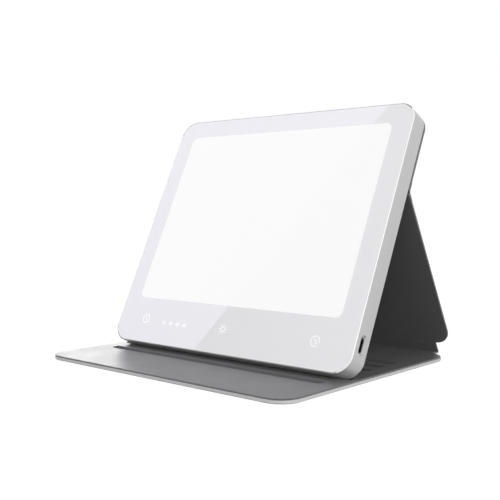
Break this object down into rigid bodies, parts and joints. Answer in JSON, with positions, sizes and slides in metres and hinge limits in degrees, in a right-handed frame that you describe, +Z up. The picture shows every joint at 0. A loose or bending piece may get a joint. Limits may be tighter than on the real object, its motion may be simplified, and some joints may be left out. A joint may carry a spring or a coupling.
{
  "type": "light therapy lamp",
  "caption": "Slab-shaped light therapy lamp with a lit window and touch controls, standing at an angle on its hinged folding cover, whose grooved base takes the lamp's foot.",
  "frame": {"origin": "middle of the base cover's underside, on the surface that the lamp stands on", "axes": "+X along the lamp's width, to the side with the charging socket; +Y from the lit front to the back; +Z up"},
  "size_m": [0.207, 0.1877, 0.17],
  "materials": {
    "housing": "satin silver-grey moulding",
    "front": "clear glossy acrylic, printed pale from behind round a lit window",
    "printed_film": "pale printed film",
    "chassis": "white moulded plastic",
    "diffuser": "milky diffuser",
    "light_guide": "clear acrylic",
    "reflector": "white reflector film",
    "circuit_board": "green solder mask",
    "led": "phosphor LEDs",
    "components": "black moulded parts",
    "socket_metal": "drawn steel",
    "flex_lead": "amber film",
    "screws": "plated steel",
    "magnets": "nickel-plated",
    "adhesive": "acrylic foam tape",
    "stiffener": "dense grey board",
    "cover_dark": "smooth dark grey soft-touch cover material",
    "base_pale": "satin pale grey"
  },
  "bodies": {
    "base_cover": {"base_plate": "base_pale", "base_lining": "cover_dark", "cover_magnets": "magnets", "hinge_strip_lower": "cover_dark"},
    "leg_panel": {"leg_board": "stiffener", "leg_skin": "cover_dark", "leg_lining": "cover_dark", "hinge_strip_upper": "cover_dark"},
    "lamp": {"rear_housing": "housing", "front_panel": "front", "bezel_mask": "printed_film", "chassis": "chassis", "diffuser_sheet": "diffuser", "light_guide": "light_guide", "reflector_sheet": "reflector", "led_boards": "circuit_board", "led_chips": "led", "main_board": "circuit_board", "driver_parts": "components", "usb_c_shell": "socket_metal", "usb_c_tongue": "components", "touch_board": "circuit_board", "icon_leds": "led", "touch_flex": "flex_lead", "led_leads": "flex_lead", "frame_screws": "screws", "board_screws": "screws", "lamp_magnets": "magnets", "panel_adhesive": "adhesive", "panel_board": "stiffener", "panel_skin": "cover_dark"}
  },
  "joints": [
    {"name": "spine_crease", "type": "hinge", "parent": "base_cover", "child": "leg_panel", "pos_m": [0, 0.0971, 0.0031], "axis": [-1, 0, 0], "range_deg": [0, 119]},
    {"name": "back_fold", "type": "hinge", "parent": "leg_panel", "child": "lamp", "pos_m": [0, 0.03574, 0.11293], "axis": [-1, 0, 0], "range_deg": [0, 125]}
  ]
}
